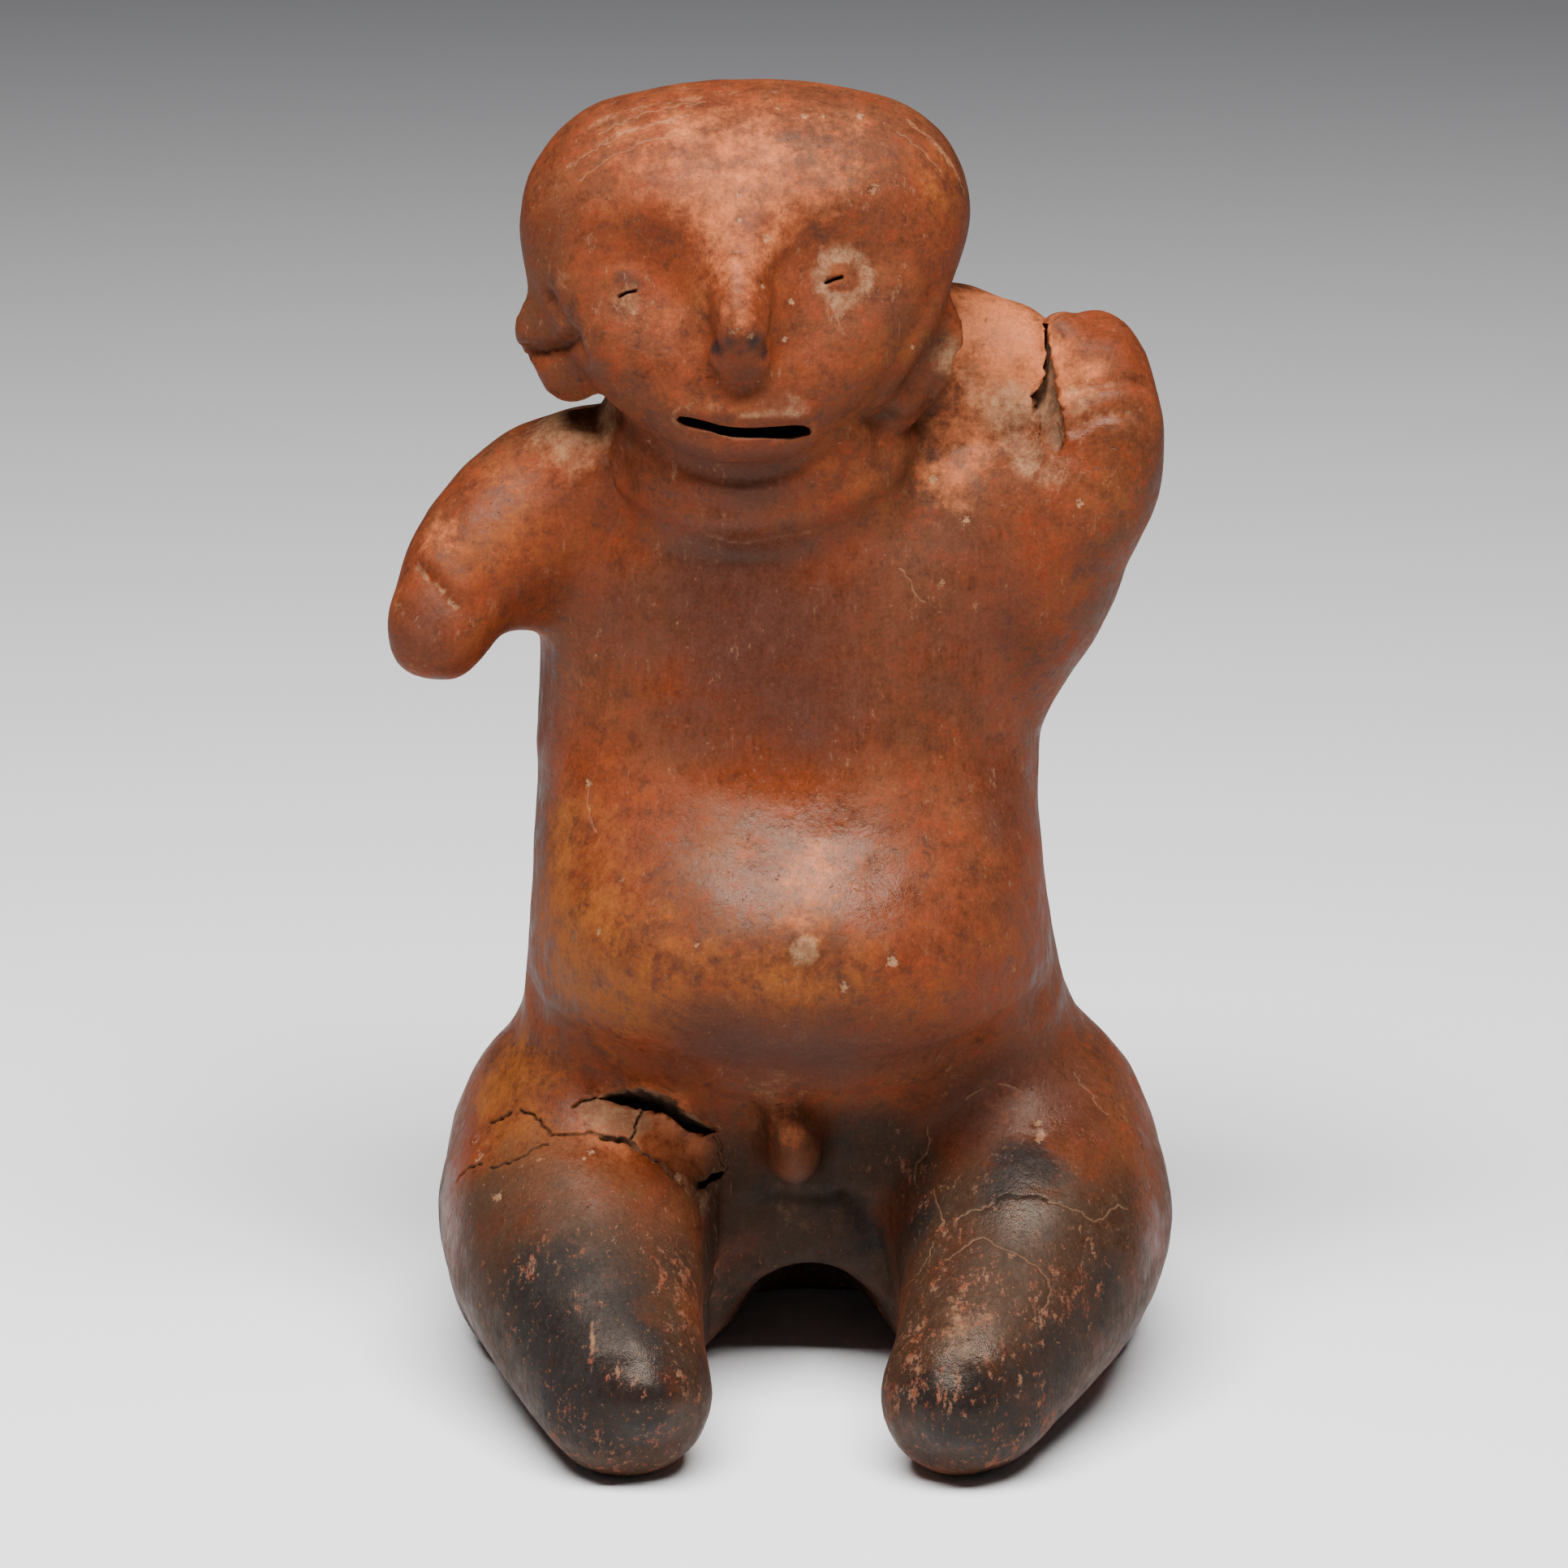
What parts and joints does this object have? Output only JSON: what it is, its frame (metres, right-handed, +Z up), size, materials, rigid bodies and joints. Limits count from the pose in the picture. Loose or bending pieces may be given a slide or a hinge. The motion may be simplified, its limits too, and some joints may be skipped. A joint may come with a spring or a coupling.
{
  "type": "seated pottery figure",
  "caption": "Seated hand-built pottery figure with a broad mask-like face, a stub arm, a raised arm gripping a shoulder lump, and swollen legs tapering to small feet.",
  "frame": {"origin": "centre of the bounding box in plan, on the plane the figure stands on", "axes": "+Z up; the figure faces -Y; its own right side, with the stub arm, is at -X"},
  "size_m": [0.1772, 0.1366, 0.3],
  "materials": {
    "fired_clay": "burnished red-brown slip with dark fire clouds"
  },
  "bodies": {
    "root": {"seated_figure": "fired_clay"}
  },
  "joints": []
}
